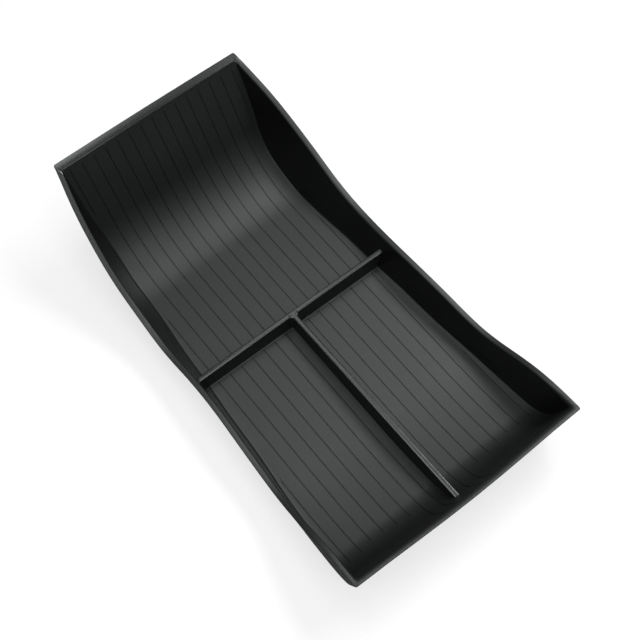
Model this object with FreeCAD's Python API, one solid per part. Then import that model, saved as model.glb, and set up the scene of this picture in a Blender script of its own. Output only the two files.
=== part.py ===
import FreeCAD, Part
import math
import os

# Centre console organiser tray, one moulding, all sizes in millimetres.
# X runs across the tray, Y along it with the tall swept end at +Y, Z is up.
# The origin lies in the middle of the tray, level with its flat underside.

# Overall sizes
trayLength = 284.4
trayWidth = 151.0
wall = 3.2
backHeight = 72.7
waistHeight = 22.1
frontHeight = 43.2

# Floor as seen from the side: steep back slope, level middle, curled front.
# Each run is measured from the end of the tray that it belongs to.
backRimWidth = 3.7
backSweepRun = 69.2
backSweepRadius = 50.0
frontRimWidth = 3.6
frontRiseRun = 73.3
frontRiseRadius = 230.0
frontCurlRun = 27.9
frontCurlRadius = 24.0

# Side walls from the swept end to the front: place as a share of the half length,
# inset from the widest place, height of the rim as a share of the rise from the
# waist to the nearer end, and lean of the wall in degrees
rimStations = [
    (1.074, 15.1, 1.006, 12.0),
    (0.985, 12.7, 0.988, 12.5),
    (0.955, 11.8, 0.945, 12.5),
    (0.905, 10.1, 0.856, 13.0),
    (0.800, 7.1, 0.678, 14.5),
    (0.638, 4.3, 0.397, 17.0),
    (0.427, 3.2, 0.113, 24.0),
    (0.244, 2.9, 0.000, 25.5),
    (0.096, 3.5, 0.030, 20.0),
    (-0.065, 3.6, 0.171, 14.0),
    (-0.312, 2.1, 0.118, 14.0),
    (-0.523, 0.8, 0.137, 10.5),
    (-0.769, 0.1, 0.744, 6.0),
    (-1.064, 0.5, 1.009, 4.5),
]

# Rounding of the long outer edges between the underside and the side walls
outerCorner = 3.4

# Dividers
crossMiddle = 9.7
crossHeight = 12.0
lengthSlope = 2.37
dividerTop = 3.1
dividerDraft = 1.0
teeFillet = 2.0

# Pinstripe grooves in the floor
groovePitch = 8.0
grooveWidth = 0.7
grooveDepth = 0.4
grooveRimGap = 2.0
grooveWallGap = 2.6
grooveDividerGap = 1.3

# Work space around the tray
over = 4.0
halfLength = trayLength / 2.0
halfSpan = trayWidth / 2.0 + 3.0 * over
lid = max(backHeight, frontHeight) + 3.0 * over


def at(y, z):
    return FreeCAD.Vector(0.0, y, z)


class Arc:
    """Arc in the middle plane, from its lowest point up towards one end of the tray."""

    def __init__(self, y, z, radius, way):
        self.y = y
        self.z = z
        self.radius = radius
        self.way = way

    def point(self, turn):
        y = self.y + self.way * self.radius * math.sin(turn)
        return at(y, self.z - self.radius * math.cos(turn))

    def edge(self, first, last):
        middle = (first + last) / 2.0
        return Part.Arc(self.point(first), self.point(middle), self.point(last)).toShape()

    def turnTowards(self, y, z):
        """Turn at which the arc's tangent line runs through a point."""
        across = self.way * (y - self.y)
        down = self.z - z
        return math.atan2(across, down) - math.acos(self.radius / math.hypot(across, down))

    def lineUp(self, turn):
        """Tangent line from a turn of the arc up to the lid."""
        start = self.point(turn)
        run = (lid - start.z) / math.tan(turn)
        return Part.makeLine(start, at(start.y + self.way * run, lid))


def floorLine(drop):
    """Edges of the floor seen from the side, moved down by drop, with both ends on the lid."""
    rimShare = 1.0 - drop / wall
    sweep = Arc(halfLength - backSweepRun, wall + backSweepRadius, backSweepRadius + drop, 1.0)
    backTurn = sweep.turnTowards(halfLength - backRimWidth * rimShare, backHeight)
    rise = Arc(frontRiseRun - halfLength, wall + frontRiseRadius, frontRiseRadius + drop, -1.0)
    lift = math.asin((frontRiseRun - frontCurlRun) / frontRiseRadius)
    centreGap = frontRiseRadius - frontCurlRadius
    curlY = rise.y - centreGap * math.sin(lift)
    curlZ = rise.z - centreGap * math.cos(lift)
    curl = Arc(curlY, curlZ, frontCurlRadius + drop, -1.0)
    frontTurn = curl.turnTowards(frontRimWidth * rimShare - halfLength, frontHeight)
    back = [sweep.lineUp(backTurn), sweep.edge(0.0, backTurn)]
    level = [Part.makeLine(sweep.point(0.0), rise.point(0.0))]
    front = [rise.edge(0.0, lift), curl.edge(lift, frontTurn), curl.lineUp(frontTurn)]
    return back + level + front


def acrossTray(edges):
    """Solid between the two sides of the work space from closed edges in the middle plane."""
    face = Part.Face(Part.Wire(edges))
    face.translate(FreeCAD.Vector(-halfSpan, 0.0, 0.0))
    return face.extrude(FreeCAD.Vector(2.0 * halfSpan, 0.0, 0.0))


def aboveFloor(drop):
    """Everything over the floor moved down by drop."""
    edges = floorLine(drop)
    ends = [edge.Vertexes[-1].Point for edge in (edges[0], edges[-1])]
    return acrossTray(edges + [Part.makeLine(ends[0], ends[1])])


def stations():
    """Place, half width at the rim, rim height and slope of the side wall at each station."""
    found = []
    for place, inset, rise, lean in rimStations:
        end = backHeight if place > 0.0 else frontHeight
        height = waistHeight + rise * (end - waistHeight)
        slope = math.tan(math.radians(lean))
        found.append((place * halfLength, trayWidth / 2.0 - inset, height, slope))
    return found


def smooth(points):
    """Curve through one point for each station, paced by the distance along the tray."""
    curve = Part.BSplineCurve()
    curve.interpolate(Points=points, Parameters=[points[0].y - p.y for p in points])
    return curve.toShape()


def betweenWalls(inset):
    """Space between the two leaning side faces, each moved inwards by inset."""
    wires = []
    for level in (-over, lid + over):
        right = []
        for y, half, rim, slope in stations():
            x = half - inset * math.hypot(1.0, slope) + (level - rim) * slope
            right.append(FreeCAD.Vector(x, y, level))
        left = [FreeCAD.Vector(-p.x, p.y, p.z) for p in right]
        back = Part.makeLine(left[0], right[0])
        front = Part.makeLine(right[-1], left[-1])
        wires.append(Part.Wire([back, smooth(right), front, smooth(left)]))
    return Part.makeLoft(wires, True, True)


def space(drop, inset):
    """Space over the floor moved down by drop, between the side faces moved in by inset."""
    return aboveFloor(drop).common(betweenWalls(inset))


def aboveRim():
    """Everything over the waved rim line."""
    rim = [at(y, height) for y, half, height, slope in stations()]
    corners = [rim[-1], at(rim[-1].y, lid + over), at(rim[0].y, lid + over), rim[0]]
    closing = [Part.makeLine(a, b) for a, b in zip(corners, corners[1:])]
    return acrossTray([smooth(rim)] + closing)


def middleOf(edge):
    return edge.valueAt((edge.FirstParameter + edge.LastParameter) / 2.0)


def sideChain(solid):
    """Long edges where the side faces of a solid meet its floor and its two ends."""
    middles = [(edge, middleOf(edge)) for edge in solid.Edges]
    return [edge for edge, m in middles if abs(m.x) > halfSpan / 2.0 and m.z < lid - over]


def wedge(middle, low, high):
    """Outline of an upright divider, widened towards its foot by the draft."""
    top = dividerTop / 2.0
    foot = top + (high - low) * math.tan(math.radians(dividerDraft))
    corners = [(middle - foot, low), (middle + foot, low), (middle + top, high), (middle - top, high)]
    return corners + corners[:1]


def dividers():
    """Cross divider from wall to wall, and the lengthwise one that leaves its middle."""
    low = wall / 2.0
    high = wall + crossHeight
    corners = [at(y, z) for y, z in wedge(crossMiddle, low, high)]
    cross = acrossTray([Part.makeLine(a, b) for a, b in zip(corners, corners[1:])])
    farHigh = high + (crossMiddle + halfLength) * math.tan(math.radians(lengthSlope))
    near = [FreeCAD.Vector(x, crossMiddle, z) for x, z in wedge(0.0, low, high)]
    far = [FreeCAD.Vector(x, -halfLength, z) for x, z in wedge(0.0, low, farHigh)]
    both = [Part.makePolygon(near), Part.makePolygon(far)]
    return cross.fuse(Part.makeLoft(both, True, True))


def teeEdges(solid):
    """Two upright edges where the lengthwise divider leaves the cross divider."""
    found = []
    for edge in solid.Edges:
        middle = middleOf(edge)
        close = abs(middle.x) < dividerTop and abs(middle.y - crossMiddle) < dividerTop
        if close and edge.BoundBox.ZLength > crossHeight / 2.0:
            found.append(edge)
    return found


def groove(x, first, last, top):
    """Upright strip over one groove, from first to last along the tray."""
    corner = FreeCAD.Vector(x - grooveWidth / 2.0, min(first, last), 0.0)
    return Part.makeBox(grooveWidth, abs(last - first), top - grooveRimGap, corner)


def grooves():
    """Fine grooves sunk into the floor, stopped short of the rims, walls and dividers."""
    reach = int((trayWidth / 2.0 - wall - grooveWallGap) / groovePitch)
    standOff = dividerTop / 2.0 + grooveDividerGap
    strips = []
    for i in range(-reach, reach + 1):
        strips.append(groove(i * groovePitch, crossMiddle + standOff, halfLength, backHeight))
        if i != 0:
            strips.append(groove(i * groovePitch, crossMiddle - standOff, -halfLength, frontHeight))
    return space(grooveDepth, wall + grooveWallGap).common(Part.makeCompound(strips))


def tray():
    """The whole tray as one solid."""
    outer = space(wall, 0.0)
    outer = outer.makeFillet(outerCorner, sideChain(outer))
    shell = outer.cut(space(0.0, wall)).cut(aboveRim())
    middleSkin = space(wall / 2.0, wall / 2.0)
    body = shell.fuse(dividers().common(middleSkin))
    body = body.makeFillet(teeFillet, teeEdges(body))
    body = body.cut(grooves())
    return body.Solids[0]


os.makedirs("parts", exist_ok=True)
body = tray()
body.exportStep("parts/tray.step")
print("tray", body.isValid(), "volume", round(body.Volume / 1000.0, 1))
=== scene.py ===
import math

import bpy
import bmesh
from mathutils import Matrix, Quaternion, Vector


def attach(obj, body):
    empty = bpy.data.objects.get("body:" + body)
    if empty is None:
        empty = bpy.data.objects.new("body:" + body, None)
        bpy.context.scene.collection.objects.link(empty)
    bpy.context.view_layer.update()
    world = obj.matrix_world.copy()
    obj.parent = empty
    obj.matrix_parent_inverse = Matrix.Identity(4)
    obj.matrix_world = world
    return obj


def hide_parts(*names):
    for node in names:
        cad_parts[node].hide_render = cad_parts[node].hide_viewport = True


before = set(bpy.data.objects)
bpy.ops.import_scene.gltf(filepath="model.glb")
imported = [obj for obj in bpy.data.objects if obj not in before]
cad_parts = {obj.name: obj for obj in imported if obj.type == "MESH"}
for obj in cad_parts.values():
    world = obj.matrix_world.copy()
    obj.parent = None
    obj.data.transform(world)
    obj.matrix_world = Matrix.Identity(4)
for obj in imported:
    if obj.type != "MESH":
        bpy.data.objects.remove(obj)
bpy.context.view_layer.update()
mm = 0.001

trayForm = {  # millimetres and degrees, the solid's driving sizes down to frontCurlRadius
    "length": 284.4,
    "width": 151.0,
    "wall": 3.2,
    "backHeight": 72.7,
    "waistHeight": 22.1,
    "frontHeight": 43.2,
    "backRimWidth": 3.7,
    "backSweepRun": 69.2,
    "backSweepRadius": 50.0,
    "frontRimWidth": 3.6,
    "frontRiseRun": 73.3,
    "frontRiseRadius": 230.0,
    "frontCurlRun": 27.9,
    "frontCurlRadius": 24.0,
    "innerCorner": 1.2,  # rounding at the foot of the side walls
    "outerCorner": 1.2,  # rounding between the underside and the side walls
    "rimInside": 0.9,  # rounding of the rim's inner edge at the back and sides
    "rimInsideFront": 2.8,  # the same edge along the front
    "rimOutside": 0.5,
    "frontBow": 1.6,  # how far the middle of the front stands out
    "backBow": 0.5,
    "frontBowRun": 30.0,  # over which the front's bow grows, before the curl
    "backBowRun": 20.0,
    "frontBowShift": 0.3,  # share of the front's bow by which its corners fall back instead
    "stations": [  # share of the half length, inset, share of the rise, lean
        (1.074, 15.1, 1.006, 12.0),
        (0.985, 12.7, 0.988, 12.5),
        (0.955, 11.8, 0.945, 12.5),
        (0.905, 10.1, 0.856, 13.0),
        (0.800, 7.1, 0.678, 14.5),
        (0.638, 4.3, 0.397, 17.0),
        (0.427, 3.2, 0.113, 24.0),
        (0.244, 2.9, 0.000, 25.5),
        (0.096, 3.5, 0.030, 20.0),
        (-0.065, 3.6, 0.171, 14.0),
        (-0.312, 2.1, 0.118, 14.0),
        (-0.523, 0.8, 0.137, 10.5),
        (-0.769, 0.1, 0.744, 6.0),
        (-1.064, 0.5, 1.009, 4.5),
    ],
    "rowsPerPiece": [30, 26, 44, 16, 20, 14],  # slope, sweep, level, rise, curl, front
    "floorColumns": 8,
    "cornerSteps": 6,
    "wallRows": 12,
    "rimSteps": 5,
    "above": 12.0,  # how far the two end lines of the floor run on over the back rim
    "steepestRim": 1.2,  # most that the rim's rounding follows a skin sideways for one up
    "frontRimFrom": -118.0,  # along the tray, where the rim's inner rounding starts to grow
    "frontRimTo": -136.0,
}


def smoothThrough(places, values):  # cubic through rising places, end slopes from a parabola
    count = len(places)
    gaps = [places[i + 1] - places[i] for i in range(count - 1)]
    rises = [(values[i + 1] - values[i]) / gaps[i] for i in range(count - 1)]
    first = rises[0] - (rises[1] - rises[0]) * gaps[0] / (gaps[0] + gaps[1])
    last = rises[-1] + (rises[-1] - rises[-2]) * gaps[-1] / (gaps[-1] + gaps[-2])
    upper = [0.0]
    right = [first]
    for i in range(1, count - 1):  # forward half of the usual three-band solve
        middle = 2.0 * (gaps[i - 1] + gaps[i]) - gaps[i] * upper[-1]
        goal = 3.0 * (gaps[i] * rises[i - 1] + gaps[i - 1] * rises[i])
        right.append((goal - gaps[i] * right[-1]) / middle)
        upper.append(gaps[i - 1] / middle)
    slopes = [last]
    for i in range(count - 2, -1, -1):
        slopes.insert(0, right[i] - upper[i] * slopes[0])

    def valueAt(place):
        i = 0
        while i < count - 2 and place > places[i + 1]:
            i += 1
        t = (place - places[i]) / gaps[i]
        near = (1.0 + 2.0 * t) * (1.0 - t) ** 2 * values[i]
        near += t * (1.0 - t) ** 2 * gaps[i] * slopes[i]
        far = t * t * (3.0 - 2.0 * t) * values[i + 1]
        far -= t * t * (1.0 - t) * gaps[i] * slopes[i + 1]
        return near + far

    return valueAt


def rampBetween(low, high, value):  # smooth step from 0 at low to 1 at high
    t = max(0.0, min(1.0, (value - low) / (high - low)))
    return t * t * (3.0 - 2.0 * t)


halfLength = trayForm["length"] / 2.0


def sideCurves():
    form = trayForm
    rows = []
    for place, inset, rise, lean in reversed(form["stations"]):
        end = form["backHeight"] if place > 0.0 else form["frontHeight"]
        height = form["waistHeight"] + rise * (end - form["waistHeight"])
        slope = math.tan(math.radians(lean))
        half = form["width"] / 2.0 - inset
        rows.append((place * halfLength, half - height * slope, slope, math.hypot(1.0, slope), height))
    places = [row[0] for row in rows]
    return [smoothThrough(places, [row[k] for row in rows]) for k in (1, 2, 3, 4)]


footHalf, wallSlope, wallWiden, rimHeight = sideCurves()


def wallX(y, z, inset):  # how far out the side face stands, moved in by inset
    return footHalf(y) + z * wallSlope(y) - inset * wallWiden(y)


def arcPiece(y, z, radius, way, first, last):
    def spot(share):
        turn = first + (last - first) * share
        place = (y + way * radius * math.sin(turn), z - radius * math.cos(turn))
        return place, (-way * math.sin(turn), math.cos(turn))

    return spot


def linePiece(start, end, normal):
    def spot(share):
        return tuple(a + (b - a) * share for a, b in zip(start, end)), normal

    return spot


def tangentTurn(y, z, radius, way, toY, toZ):
    across = way * (toY - y)
    down = z - toZ
    return math.atan2(across, down) - math.acos(radius / math.hypot(across, down))


def floorPieces(drop):  # slope, sweep, level, rise, curl and front line, from the back
    form = trayForm
    wall = form["wall"]
    share = 1.0 - drop / wall
    above = form["backHeight"] + form["above"]
    sweepY = halfLength - form["backSweepRun"]
    sweepZ = wall + form["backSweepRadius"]
    sweepR = form["backSweepRadius"] + drop
    backRim = halfLength - form["backRimWidth"] * share
    backTurn = tangentTurn(sweepY, sweepZ, sweepR, 1.0, backRim, form["backHeight"])
    riseY = form["frontRiseRun"] - halfLength
    riseZ = wall + form["frontRiseRadius"]
    lift = math.asin((form["frontRiseRun"] - form["frontCurlRun"]) / form["frontRiseRadius"])
    gap = form["frontRiseRadius"] - form["frontCurlRadius"]
    curlY = riseY - gap * math.sin(lift)
    curlZ = riseZ - gap * math.cos(lift)
    curlR = form["frontCurlRadius"] + drop
    frontRim = form["frontRimWidth"] * share - halfLength
    frontTurn = tangentTurn(curlY, curlZ, curlR, -1.0, frontRim, form["frontHeight"])
    sweep = arcPiece(sweepY, sweepZ, sweepR, 1.0, backTurn, 0.0)
    rise = arcPiece(riseY, riseZ, form["frontRiseRadius"] + drop, -1.0, 0.0, lift)
    curl = arcPiece(curlY, curlZ, curlR, -1.0, lift, frontTurn)
    (startY, startZ), backNormal = sweep(0.0)
    (endY, endZ), frontNormal = curl(1.0)
    backTop = (startY + (above - startZ) / math.tan(backTurn), above)
    frontTop = (endY - (above - endZ) / math.tan(frontTurn), above)
    return [
        linePiece(backTop, (startY, startZ), backNormal),
        sweep,
        linePiece(sweep(1.0)[0], rise(0.0)[0], (0.0, 1.0)),
        rise,
        curl,
        linePiece((endY, endZ), frontTop, frontNormal),
    ]


def floorSpot(pieces, u):
    k = min(int(u), len(pieces) - 1)
    return pieces[k](u - k)


def crossing(test, low, high):  # where a rising test passes nought
    for _ in range(40):
        middle = (low + high) / 2.0
        if test(middle) < 0.0:
            low = middle
        else:
            high = middle
    return (low + high) / 2.0


def floorHeight(pieces, y):
    u = crossing(lambda v: y - floorSpot(pieces, v)[0][0], 0.0, float(len(pieces)))
    return floorSpot(pieces, u)[0][1]


def cornerSpot(skin, u, t):  # rounding between floor (t = 0) and side wall (t = 1)
    (y, z), (normalY, normalZ) = floorSpot(skin["pieces"], u)
    radius = skin["corner"]
    centreY = y + radius * normalY
    centreZ = z + radius * normalZ
    inset = skin["inset"] + radius
    centre = Vector((wallX(centreY, centreZ, inset), centreY, centreZ))
    step = 0.1
    rise = wallX(centreY + step, centreZ, inset) - wallX(centreY - step, centreZ, inset)
    alongY = rise / (2.0 * step)
    wallNormal = Vector((1.0, -alongY, -wallSlope(centreY))).normalized()
    floorNormal = Vector((0.0, -normalY, -normalZ))
    angle = floorNormal.angle(wallNormal)
    near = math.sin((1.0 - t) * angle) / math.sin(angle)
    far = math.sin(t * angle) / math.sin(angle)
    return centre + radius * (floorNormal * near + wallNormal * far)


def rimRadius(skin, y):
    front = rampBetween(trayForm["frontRimFrom"], trayForm["frontRimTo"], y)
    return skin["rim"] + (skin["rimFront"] - skin["rim"]) * front


def rimGap(skin, spot):  # height still missing to the trimmed rim
    return rimHeight(spot.y) - rimRadius(skin, spot.y) - spot.z


def rowPlaces(skin, t):  # places along the floor line for one column, from rim to rim
    first = crossing(lambda u: rimGap(skin, cornerSpot(skin, u, t)), 0.0, 1.0)
    last = crossing(lambda u: -rimGap(skin, cornerSpot(skin, u, t)), 5.0, 6.0)
    counts = trayForm["rowsPerPiece"]
    places = []
    for k, count in enumerate(counts):
        low = first if k == 0 else float(k)
        high = last if k == len(counts) - 1 else k + 1.0
        places += [low + (high - low) * i / count for i in range(count)]
    return places + [last]


def skinGrid(skin):  # rows from back to front, each from the middle of the floor to the rim
    steps = trayForm["cornerSteps"]
    columns = [rowPlaces(skin, k / steps) for k in range(steps + 1)]
    half = trayForm["floorColumns"] // 2
    rows = []
    for i in range(len(columns[0])):
        edge = cornerSpot(skin, columns[0][i], 0.0)
        row = [Vector((edge.x * k / half, edge.y, edge.z)) for k in range(half)]
        row += [cornerSpot(skin, columns[k][i], k / steps) for k in range(steps + 1)]
        foot = row[-1]
        top = max(foot.z, rimHeight(foot.y) - rimRadius(skin, foot.y))
        error = foot.x - wallX(foot.y, foot.z, skin["inset"])
        for k in range(1, trayForm["wallRows"] + 1):
            share = k / trayForm["wallRows"]
            z = foot.z + (top - foot.z) * share
            row.append(Vector((wallX(foot.y, z, skin["inset"]) + error * (1.0 - share), foot.y, z)))
        rows.append(row)
    return rows


def bothSides(rows):  # mirror each half row to a whole one, left rim to right rim
    whole = []
    for row in rows:
        left = [Vector((-p.x, p.y, p.z)) for p in reversed(row[1:])]
        whole.append(left + row)
    return whole


def bowed(point):  # both ends stand out a little in their middle
    form = trayForm
    middle = (1.0 - min(1.0, abs(point.x) / (form["width"] / 2.0)) ** 2) ** 2
    frontFrom = form["frontCurlRun"] + form["frontBowRun"] - halfLength
    front = rampBetween(frontFrom, form["frontRimWidth"] - halfLength, point.y)
    back = rampBetween(halfLength - form["backBowRun"], halfLength - form["backRimWidth"], point.y)
    out = back * form["backBow"] * middle
    out -= front * form["frontBow"] * (middle - form["frontBowShift"])
    return Vector((point.x, point.y + out, point.z))


def rimPath(grid):  # grid places of the rim, once round
    last = len(grid) - 1
    wide = len(grid[0]) - 1
    steps = trayForm["wallRows"]
    path = [(0, j) for j in range(steps, wide - steps + 1)]
    path += [(i, wide) for i in range(1, last)]
    path += [(last, j) for j in range(wide - steps, steps - 1, -1)]
    path += [(i, 0) for i in range(last - 1, 0, -1)]
    return path


def rimNeighbour(grid, place):  # the grid point just below the rim
    i, j = place
    last = len(grid) - 1
    if i == 0:
        return grid[1][j]
    if i == last:
        return grid[last - 1][j]
    return grid[i][1] if j == 0 else grid[i][j - 1]


def upwards(grid, place):  # direction up the skin, one unit high
    here = grid[place[0]][place[1]]
    run = here - rimNeighbour(grid, place)
    if run.z < 1e-5:
        return Vector((0.0, 0.0, 1.0))
    run = run / run.z
    flat = Vector((run.x, run.y)).length
    share = min(1.0, trayForm["steepestRim"] / max(flat, 1e-9))
    return Vector((run.x * share, run.y * share, 1.0))


def addPoint(bm, spot, polish):  # polish marks the faces that are smoother than the floor
    point = bm.verts.new(spot * mm)
    point[bm.verts.layers.float["polish"]] = polish
    return point


def buildShell(bm):
    form = trayForm
    inner = {"pieces": floorPieces(0.0), "inset": form["wall"], "corner": form["innerCorner"]}
    inner.update({"rim": form["rimInside"], "rimFront": form["rimInsideFront"]})
    outer = {"pieces": floorPieces(form["wall"]), "inset": 0.0, "corner": form["outerCorner"]}
    outer.update({"rim": form["rimOutside"], "rimFront": form["rimOutside"]})
    grids = [bothSides(skinGrid(inner)), bothSides(skinGrid(outer))]
    middle = len(grids[0][0]) // 2
    flat = form["floorColumns"] // 2 + form["cornerSteps"] // 2
    verts = []
    for grid, polish in zip(grids, (1.0, 0.0)):  # the outer skin is grained all over
        rows = []
        for row in grid:
            marks = [polish * (abs(j - middle) > flat) for j in range(len(row))]
            rows.append([addPoint(bm, bowed(p), mark) for p, mark in zip(row, marks)])
        verts.append(rows)
    for side, rows in enumerate(verts):
        for a, b in zip(rows, rows[1:]):
            for j in range(len(a) - 1):
                loop = [a[j], a[j + 1], b[j + 1], b[j]]
                bm.faces.new(loop if side == 1 else loop[::-1])
    path = rimPath(grids[0])
    steps = form["rimSteps"]
    rings = []
    for place in path:
        i, j = place
        a = grids[0][i][j]
        b = grids[1][i][j]
        upA = upwards(grids[0], place)
        upB = upwards(grids[1], place)
        radiusA = rimRadius(inner, a.y)
        radiusB = rimRadius(outer, b.y)
        across = ((b + upB * radiusB) - (a + upA * radiusA)).normalized()
        ring = [verts[0][i][j]]
        turns = [math.radians(90.0) * k / steps for k in range(1, steps + 1)]
        spots = []
        for t in turns:
            spots.append(a + upA * radiusA * math.sin(t) + across * radiusA * (1.0 - math.cos(t)))
        for t in turns[::-1]:
            spots.append(b + upB * radiusB * math.sin(t) - across * radiusB * (1.0 - math.cos(t)))
        polish = rampBetween(halfLength - 12.0, halfLength - 6.0, a.y)  # the long rims are grained
        ring += [addPoint(bm, bowed(spot), polish * (k <= steps)) for k, spot in enumerate(spots)]
        ring.append(verts[1][i][j])
        rings.append(ring)
    for a, b in zip(rings, rings[1:] + rings[:1]):
        for k in range(len(a) - 1):
            bm.faces.new([a[k], a[k + 1], b[k + 1], b[k]])


dividerForm = {  # millimetres and degrees
    "crossMiddle": 9.7,
    "crossHeight": 12.0,
    "top": 3.1,
    "draft": 1.0,
    "lengthSlope": 2.37,
    "teeFillet": 2.0,
    "footFillet": 0.8,
    "topEdge": 0.45,
    "topSteps": 4,
    "frontBite": 1.2,  # how far the lengthwise divider runs into the front wall
    "rows": 60,
    "leastHeight": 2.0,  # the bar goes on at least this high inside the front wall
    "footFadeFrom": 2.0,  # height over the floor from which the foot fillet grows to full size
    "footFadeTo": 8.0,
    "footSteps": (-1.0, 0.0, 0.06, 0.19, 0.38, 0.63, 1.0),  # heights up the fillet, as shares of it
}


def flare(distance, radius):  # how far a hollow rounding stands out at a distance from its face
    if distance >= radius:
        return 0.0
    return radius - math.sqrt(max(0.0, radius ** 2 - (radius - max(distance, 0.0)) ** 2))


def barSide(low, high, foot):  # one side of a divider's section: pairs of half width and height
    form = dividerForm
    draft = math.tan(math.radians(form["draft"]))
    edge = min(form["topEdge"], 0.4 * (high - low))
    side = []
    for share in form["footSteps"]:
        side.append((foot * share, flare(foot * share, foot)))
    side = [(form["top"] / 2.0 + (high - low - lift) * draft + out, low + lift) for lift, out in side]
    for k in range(form["topSteps"] + 1):
        turn = math.radians(90.0) * k / form["topSteps"]
        half = form["top"] / 2.0 - edge * (1.0 - math.cos(turn))
        side.append((half, high - edge + edge * math.sin(turn)))
    return side


def joinRings(bm, rings):
    for a, b in zip(rings, rings[1:]):
        for k in range(len(a)):
            n = (k + 1) % len(a)
            bm.faces.new([a[k], a[n], b[n], b[k]])
    bm.faces.new(rings[0][::-1])
    bm.faces.new(rings[-1])


def buildCross(bm):
    form = dividerForm
    wall = trayForm["wall"]
    side = barSide(wall, wall + form["crossHeight"], form["footFillet"])
    rings = []
    for share in (-1.0, -0.6, -0.2, 0.2, 0.6, 1.0):
        ring = []
        for flip, pairs in ((1.0, side), (-1.0, side[::-1])):
            for half, z in pairs:
                x = share * wallX(form["crossMiddle"], z, wall / 2.0)
                spot = Vector((x, form["crossMiddle"] + flip * half, z))
                ring.append(addPoint(bm, spot, float(z > side[-1][1] - form["topEdge"] + 0.01)))
        rings.append(ring)
    joinRings(bm, rings)


def buildLength(bm, pieces):
    form = dividerForm
    wall = trayForm["wall"]
    slope = math.tan(math.radians(form["lengthSlope"]))
    base = wall + form["crossHeight"] + form["crossMiddle"] * slope
    meet = -crossing(lambda run: floorHeight(pieces, -run) - base - run * slope, 60.0, halfLength)
    face = form["crossMiddle"] - form["top"] / 2.0
    near = [form["crossMiddle"], face, face - 0.1, face - 0.3, face - 0.6, face - 1.0, face - 1.5]
    near.append(face - form["teeFillet"])
    end = meet - form["frontBite"]
    rows = form["rows"]
    far = [near[-1] + (end - near[-1]) * i / rows for i in range(1, rows + 1)]
    rings = []
    for y in near + far:
        high = base - y * slope
        low = min(floorHeight(pieces, y), high - form["leastHeight"])
        widen = flare(face - y, form["teeFillet"])
        grown = rampBetween(form["footFadeFrom"], form["footFadeTo"], high - floorHeight(pieces, y))
        foot = form["footFillet"] * grown + 0.02  # never quite nought, so that no faces collapse
        side = barSide(low, high, foot)
        ring = []
        for flip, pairs in ((-1.0, side), (1.0, side[::-1])):
            for half, z in pairs:
                spot = Vector((flip * (half + widen), y, z))
                ring.append(addPoint(bm, spot, float(z > high - form["topEdge"] + 0.01)))
        rings.append(ring)
    joinRings(bm, rings)


grooveForm = {  # millimetres
    "pitch": 8.0,
    "width": 0.75,  # at the floor
    "bottom": 0.3,
    "depth": 0.36,
    "guard": 0.12,  # keeps the smooth shading of a fading groove beside it
    "rimGap": 1.6,
    "wallGap": 2.2,
    "dividerGap": 1.3,
    "endLength": 0.4,  # over which a groove rises to the floor beside the cross divider
    "fade": 0.8,  # over which it rises beside a wall
    "snap": 0.05,  # points closer than this to a cut move onto it, which avoids slivers
    "hair": 0.1,
    "leastUp": 0.2,  # a floor face's normal points at least this much up
    "mostAcross": 0.01,  # and no more than this across
}


def cutGrooveLines(bm):  # edge loops where the grooves will sink, on the floor only
    form = grooveForm
    reach = int((trayForm["width"] / 2.0 - trayForm["wall"] - form["wallGap"]) / form["pitch"])
    planes = []
    offsets = [form["bottom"] / 2.0, form["width"] / 2.0, form["width"] / 2.0 + form["guard"]]
    for i in range(-reach, reach + 1):
        for offset in [-offset for offset in offsets] + offsets:
            planes.append(((i * form["pitch"] + offset, 0.0, 0.0), (1.0, 0.0, 0.0)))
    standOff = dividerForm["top"] / 2.0 + form["dividerGap"]
    for way in (-1.0, 1.0):
        for extra in (0.0, form["endLength"]):
            y = dividerForm["crossMiddle"] + way * (standOff + extra)
            planes.append(((0.0, y, 0.0), (0.0, 1.0, 0.0)))
    for place, normal in planes:
        faces = [f for f in bm.faces if isFloor(f)]
        edges = {e for f in faces for e in f.edges}
        verts = {v for f in faces for v in f.verts}
        geometry = list(verts) + list(edges) + faces
        bmesh.ops.bisect_plane(
            bm,
            geom=geometry,
            dist=form["snap"] * mm,
            plane_co=Vector(place) * mm,
            plane_no=normal,
            use_snap_center=True,
        )


def isFloor(face):
    return face.material_index == 1


def grooveRoom(point):  # 1 where a groove may lie, 0 elsewhere
    form = grooveForm
    x, y, z = (value / mm for value in point)
    standOff = dividerForm["top"] / 2.0 + form["dividerGap"]
    if abs(y - dividerForm["crossMiddle"]) < standOff + form["hair"]:
        return 0.0
    if abs(x) < form["pitch"] / 2.0 and y < dividerForm["crossMiddle"]:
        return 0.0
    if z > rimHeight(y) - trayForm["rimInside"] - form["rimGap"]:
        return 0.0
    wallGap = wallX(y, z + 1.0, trayForm["wall"]) - abs(x)
    return rampBetween(form["wallGap"], form["wallGap"] + form["fade"], wallGap)


def mathNode(tree, operation, first, second):  # one step of arithmetic on two sockets or numbers
    pair = {0: first, 1: second}
    values = {k: v for k, v in pair.items() if isinstance(v, float)}
    links = {k: v for k, v in pair.items() if not isinstance(v, float)}
    return addNode(tree, "ShaderNodeMath", {"operation": operation}, values, links).outputs[0]


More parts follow.
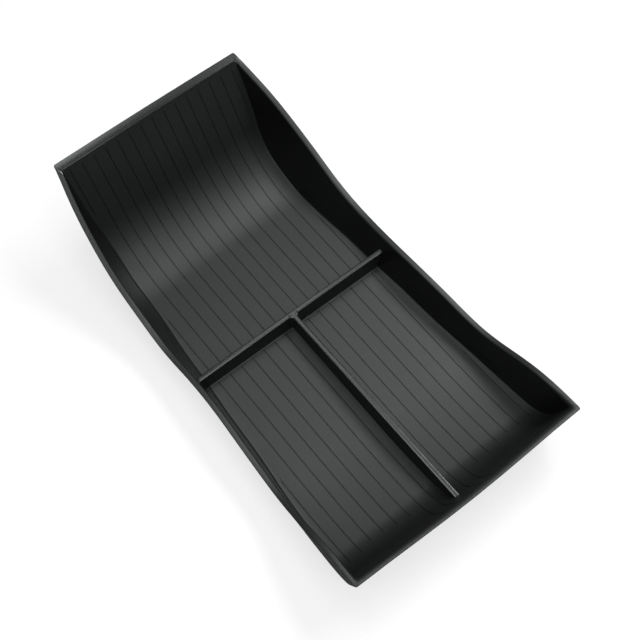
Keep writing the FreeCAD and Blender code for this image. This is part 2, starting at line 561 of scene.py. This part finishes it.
def grooveTree(material):  # sinks the floor points that lie on a groove
    tree = bpy.data.node_groups.new("grooveTree", "GeometryNodeTree")
    tree.interface.new_socket("Geometry", in_out="INPUT", socket_type="NodeSocketGeometry")
    for name in ("Pitch", "Width", "Bottom", "Depth"):
        tree.interface.new_socket(name, in_out="INPUT", socket_type="NodeSocketFloat")
    tree.interface.new_socket("Geometry", in_out="OUTPUT", socket_type="NodeSocketGeometry")
    entry = addNode(tree, "NodeGroupInput")
    place = addNode(tree, "GeometryNodeInputPosition")
    split = addNode(tree, "ShaderNodeSeparateXYZ", links={"Vector": place.outputs["Position"]})
    across = split.outputs["X"]
    ahead = mathNode(tree, "ADD", across, mathNode(tree, "MULTIPLY", entry.outputs["Pitch"], 0.5))
    nearest = mathNode(tree, "SNAP", ahead, entry.outputs["Pitch"])  # the nearest groove's line
    distance = mathNode(tree, "ABSOLUTE", mathNode(tree, "SUBTRACT", across, nearest), 0.0)
    profile = addNode(
        tree,
        "ShaderNodeMapRange",
        links={
            "Value": distance,
            "From Min": mathNode(tree, "MULTIPLY", entry.outputs["Width"], 0.5),
            "From Max": mathNode(tree, "MULTIPLY", entry.outputs["Bottom"], 0.5),
        },
    )
    room = addNode(tree, "GeometryNodeInputNamedAttribute", values={"Name": "grooveRoom"})
    amount = mathNode(tree, "MULTIPLY", profile.outputs["Result"], room.outputs["Attribute"])
    depth = mathNode(tree, "MULTIPLY", amount, entry.outputs["Depth"])
    offset = addNode(
        tree,
        "ShaderNodeVectorMath",
        {"operation": "SCALE"},
        links={
            "Vector": addNode(tree, "GeometryNodeInputNormal").outputs["Normal"],
            "Scale": mathNode(tree, "MULTIPLY", depth, -1.0),
        },
    ).outputs["Vector"]
    whole = entry.outputs["Geometry"]
    sink = addNode(tree, "GeometryNodeSetPosition", links={"Geometry": whole, "Offset": offset})
    real = addNode(tree, "GeometryNodeRealizeInstances", links={"Geometry": sink.outputs["Geometry"]})
    finish = addNode(
        tree,
        "GeometryNodeSetMaterial",
        values={"Material": material},
        links={"Geometry": real.outputs["Geometry"]},
    )
    addNode(tree, "NodeGroupOutput", links={"Geometry": finish.outputs["Geometry"]})
    return tree


def addNode(tree, kind, settings=None, values=None, links=None):
    node = tree.nodes.new(kind)
    for name, value in (settings or {}).items():
        setattr(node, name, value)
    for name, value in (values or {}).items():
        node.inputs[name].default_value = value
    for name, socket in (links or {}).items():
        tree.links.new(socket, node.inputs[name])
    return node


def linear(hexColour):  # sRGB hex to linear
    parts = [int(hexColour[i : i + 2], 16) / 255.0 for i in (1, 3, 5)]
    return [c / 12.92 if c <= 0.04045 else ((c + 0.055) / 1.055) ** 2.4 for c in parts] + [1.0]


absLook = {
    "dark": "#0d0d0e",
    "light": "#131314",
    "sheen": "#f9fffe",  # a trace of green in the highlights
    "roughness": 0.5,  # spark-grained faces
    "polished": 0.24,  # inner walls, divider tops and back rim, smoother than the floor
    "spread": 0.05,
    "ior": 1.54,
    "grain": 0.7,  # millimetres; the real spark grain is finer, this is the finest that shows
    "grainDepth": 0.012,
    "grainStrength": 0.35,
    "polishedStrength": 0.08,
    "cloud": 38.0,  # millimetres, width of the faint change in tone
}


def mouldedAbs():  # satin black, with soft broad highlights from its fine spark-eroded grain
    look = absLook
    material = bpy.data.materials.new("mouldedAbs")
    material.use_nodes = True
    tree = material.node_tree
    tree.nodes.clear()
    place = addNode(tree, "ShaderNodeTexCoord").outputs["Object"]
    coarse = {"Scale": 1.0 / (look["cloud"] * mm), "Detail": 3.0}
    fine = {"Scale": 1.0 / (look["grain"] * mm), "Detail": 2.0}
    cloud = addNode(tree, "ShaderNodeTexNoise", values=coarse, links={"Vector": place})
    grain = addNode(tree, "ShaderNodeTexNoise", values=fine, links={"Vector": place})
    tone = addNode(tree, "ShaderNodeValToRGB", links={"Fac": cloud.outputs["Fac"]})
    tone.color_ramp.elements[0].position = 0.35
    tone.color_ramp.elements[0].color = linear(look["dark"])
    tone.color_ramp.elements[1].position = 0.65
    tone.color_ramp.elements[1].color = linear(look["light"])
    gloss = addNode(
        tree,
        "ShaderNodeMapRange",
        values={
            "From Min": 0.3,
            "From Max": 0.7,
            "To Min": look["roughness"] - look["spread"],
            "To Max": look["roughness"] + look["spread"],
        },
        links={"Value": grain.outputs["Fac"]},
    )
    polish = addNode(tree, "ShaderNodeAttribute", {"attribute_name": "polish"})
    finish = addNode(
        tree,
        "ShaderNodeMix",
        values={"B": look["polished"]},
        links={"Factor": polish.outputs["Fac"], "A": gloss.outputs["Result"]},
    )
    rough = addNode(
        tree,
        "ShaderNodeMapRange",
        values={"To Min": look["grainStrength"], "To Max": look["polishedStrength"]},
        links={"Value": polish.outputs["Fac"]},
    )
    bump = addNode(
        tree,
        "ShaderNodeBump",
        values={"Distance": look["grainDepth"] * mm},
        links={"Height": grain.outputs["Fac"], "Strength": rough.outputs["Result"]},
    )
    shader = addNode(
        tree,
        "ShaderNodeBsdfPrincipled",
        values={"IOR": look["ior"], "Specular Tint": linear(look["sheen"])},
        links={
            "Base Color": tone.outputs["Color"],
            "Roughness": finish.outputs["Result"],
            "Normal": bump.outputs["Normal"],
        },
    )
    addNode(tree, "ShaderNodeOutputMaterial", links={"Surface": shader.outputs["BSDF"]})
    return material


stageLook = {
    "paper": "#9c9c9c",
    "roughness": 0.9,
    "glow": 0.7,
    "size": 2.4,  # metres
    "drop": 0.0002,  # metres below the tray's underside
    "worldLight": 0.14,
}


def paperFloor():  # matt paper, made plain white by a glow that only the camera sees
    material = bpy.data.materials.new("whitePaper")
    material.use_nodes = True
    tree = material.node_tree
    tree.nodes.clear()
    rays = addNode(tree, "ShaderNodeLightPath")
    glow = mathNode(tree, "MULTIPLY", rays.outputs["Is Camera Ray"], stageLook["glow"])
    paper = addNode(
        tree,
        "ShaderNodeBsdfPrincipled",
        values={
            "Base Color": linear(stageLook["paper"]),
            "Roughness": stageLook["roughness"],
            "Specular IOR Level": 0.0,
            "Emission Color": linear("#ffffff"),
        },
        links={"Emission Strength": glow},
    )
    addNode(tree, "ShaderNodeOutputMaterial", links={"Surface": paper.outputs["BSDF"]})
    return material


def markFloor(bm):  # the floor's inner faces get the second material slot until they are grooved
    form = grooveForm
    for face in bm.faces:
        centre = face.calc_center_median() / mm
        facesUp = face.normal.z > form["leastUp"] and abs(face.normal.x) < form["mostAcross"]
        belowRim = centre.z < rimHeight(centre.y) - trayForm["rimInside"] * 0.5
        if facesUp and belowRim and centre.z > trayForm["wall"] - form["hair"]:
            face.material_index = 1


plastic = mouldedAbs()
bm = bmesh.new()
bm.verts.layers.float.new("polish")
buildShell(bm)
bmesh.ops.remove_doubles(bm, verts=bm.verts, dist=1e-6)
bmesh.ops.dissolve_degenerate(bm, edges=bm.edges, dist=1e-7)
bm.normal_update()
markFloor(bm)
cutGrooveLines(bm)
print("shell", len(bm.verts), "points")
buildCross(bm)
buildLength(bm, floorPieces(0.0))
bm.normal_update()
mesh = bpy.data.meshes.new("trayMoulding")
bm.to_mesh(mesh)
floorPoints = set()
for polygon in mesh.polygons:
    if polygon.material_index == 1:
        floorPoints.update(polygon.vertices)
room = mesh.attributes.new("grooveRoom", "FLOAT", "POINT")
for index in floorPoints:
    room.data[index].value = grooveRoom(mesh.vertices[index].co)
for polygon in mesh.polygons:
    polygon.material_index = 0
    polygon.use_smooth = True
tray = bpy.data.objects.new("trayMoulding", mesh)
bpy.context.scene.collection.objects.link(tray)
mesh.materials.append(plastic)

tree = grooveTree(plastic)
modifier = tray.modifiers.new("grooves", "NODES")
modifier.node_group = tree
sizes = {name.capitalize(): grooveForm[name] for name in ("pitch", "width", "bottom", "depth")}
for item in tree.interface.items_tree:
    if item.in_out == "INPUT" and item.name in sizes:
        modifier[item.identifier] = sizes[item.name] * mm
evaluated = tray.evaluated_get(bpy.context.evaluated_depsgraph_get())
finished = bpy.data.meshes.new_from_object(evaluated)
tray.modifiers.clear()
tray.data = finished
finished.name = "trayMoulding"
sharpFrom = 34.0  # degrees, steeper edges stay sharp
finished.set_sharp_from_angle(angle=math.radians(sharpFrom))
print("tray", len(finished.vertices), "points", len(finished.polygons), "faces")
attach(tray, "root")
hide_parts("tray")


floorMesh = bpy.data.meshes.new("paper")
edge = stageLook["size"] / 2.0
corners = [(-edge, -edge), (edge, -edge), (edge, edge), (-edge, edge)]
floorMesh.from_pydata([(x, y, -stageLook["drop"]) for x, y in corners], [], [(0, 1, 2, 3)])
floorMesh.materials.append(paperFloor())
floor = bpy.data.objects.new("paper", floorMesh)
bpy.context.scene.collection.objects.link(floor)

lampSet = {  # place, aim, width and length in millimetres, power in watts
    "rightBox": ((600.0, 0.0, 900.0), (600.0, 0.0, 0.0), (300.0, 600.0), 8.6),
    "leftBox": ((-600.0, -150.0, 900.0), (-600.0, -150.0, 0.0), (500.0, 500.0), 2.1),
    "topBox": ((0.0, 120.0, 900.0), (0.0, 120.0, 0.0), (300.0, 300.0), 1.5),
    "backBox": ((250.0, 450.0, 900.0), (250.0, 450.0, 0.0), (200.0, 300.0), 0.68),
    "frontBox": ((0.0, -620.0, 900.0), (0.0, -620.0, 0.0), (300.0, 450.0), 2.2),
}


def addLamp(name, place, aim, size, power):
    data = bpy.data.lights.new(name, "AREA")
    data.shape = "RECTANGLE"
    data.size = size[0] * mm
    data.size_y = size[1] * mm
    data.energy = power
    lamp = bpy.data.objects.new(name, data)
    lamp.location = Vector(place) * mm
    lamp.rotation_euler = (Vector(aim) - Vector(place)).to_track_quat("-Z", "Y").to_euler()
    bpy.context.scene.collection.objects.link(lamp)


for name, (place, aim, size, power) in lampSet.items():
    addLamp(name, place, aim, size, power)

world = bpy.data.worlds.new("studio")
bpy.context.scene.world = world
world.use_nodes = True
world.node_tree.nodes.clear()
rays = addNode(world.node_tree, "ShaderNodeLightPath")
strength = addNode(
    world.node_tree,
    "ShaderNodeMapRange",
    values={"To Min": stageLook["worldLight"], "To Max": 1.0},  # plain white to the camera
    links={"Value": rays.outputs["Is Camera Ray"]},
)
sky = addNode(
    world.node_tree,
    "ShaderNodeBackground",
    values={"Color": linear("#ffffff")},
    links={"Strength": strength.outputs["Result"]},
)
addNode(world.node_tree, "ShaderNodeOutputWorld", links={"Surface": sky.outputs["Background"]})

cameraForm = {"place": (-159.6, -255.9, 611.6), "aim": (8.31, -5.72, 20.0), "roll": -4.76, "lens": 66.09}
cameraData = bpy.data.cameras.new("camera")
cameraData.lens = cameraForm["lens"]
cameraData.sensor_width = 36.0
camera = bpy.data.objects.new("camera", cameraData)
camera.location = Vector(cameraForm["place"]) * mm
look = (Vector(cameraForm["aim"]) - Vector(cameraForm["place"])).to_track_quat("-Z", "Y")
camera.rotation_mode = "QUATERNION"
camera.rotation_quaternion = look @ Quaternion((0.0, 0.0, 1.0), math.radians(cameraForm["roll"]))
bpy.context.scene.collection.objects.link(camera)
bpy.context.scene.camera = camera
bpy.context.scene.view_settings.view_transform = "Standard"
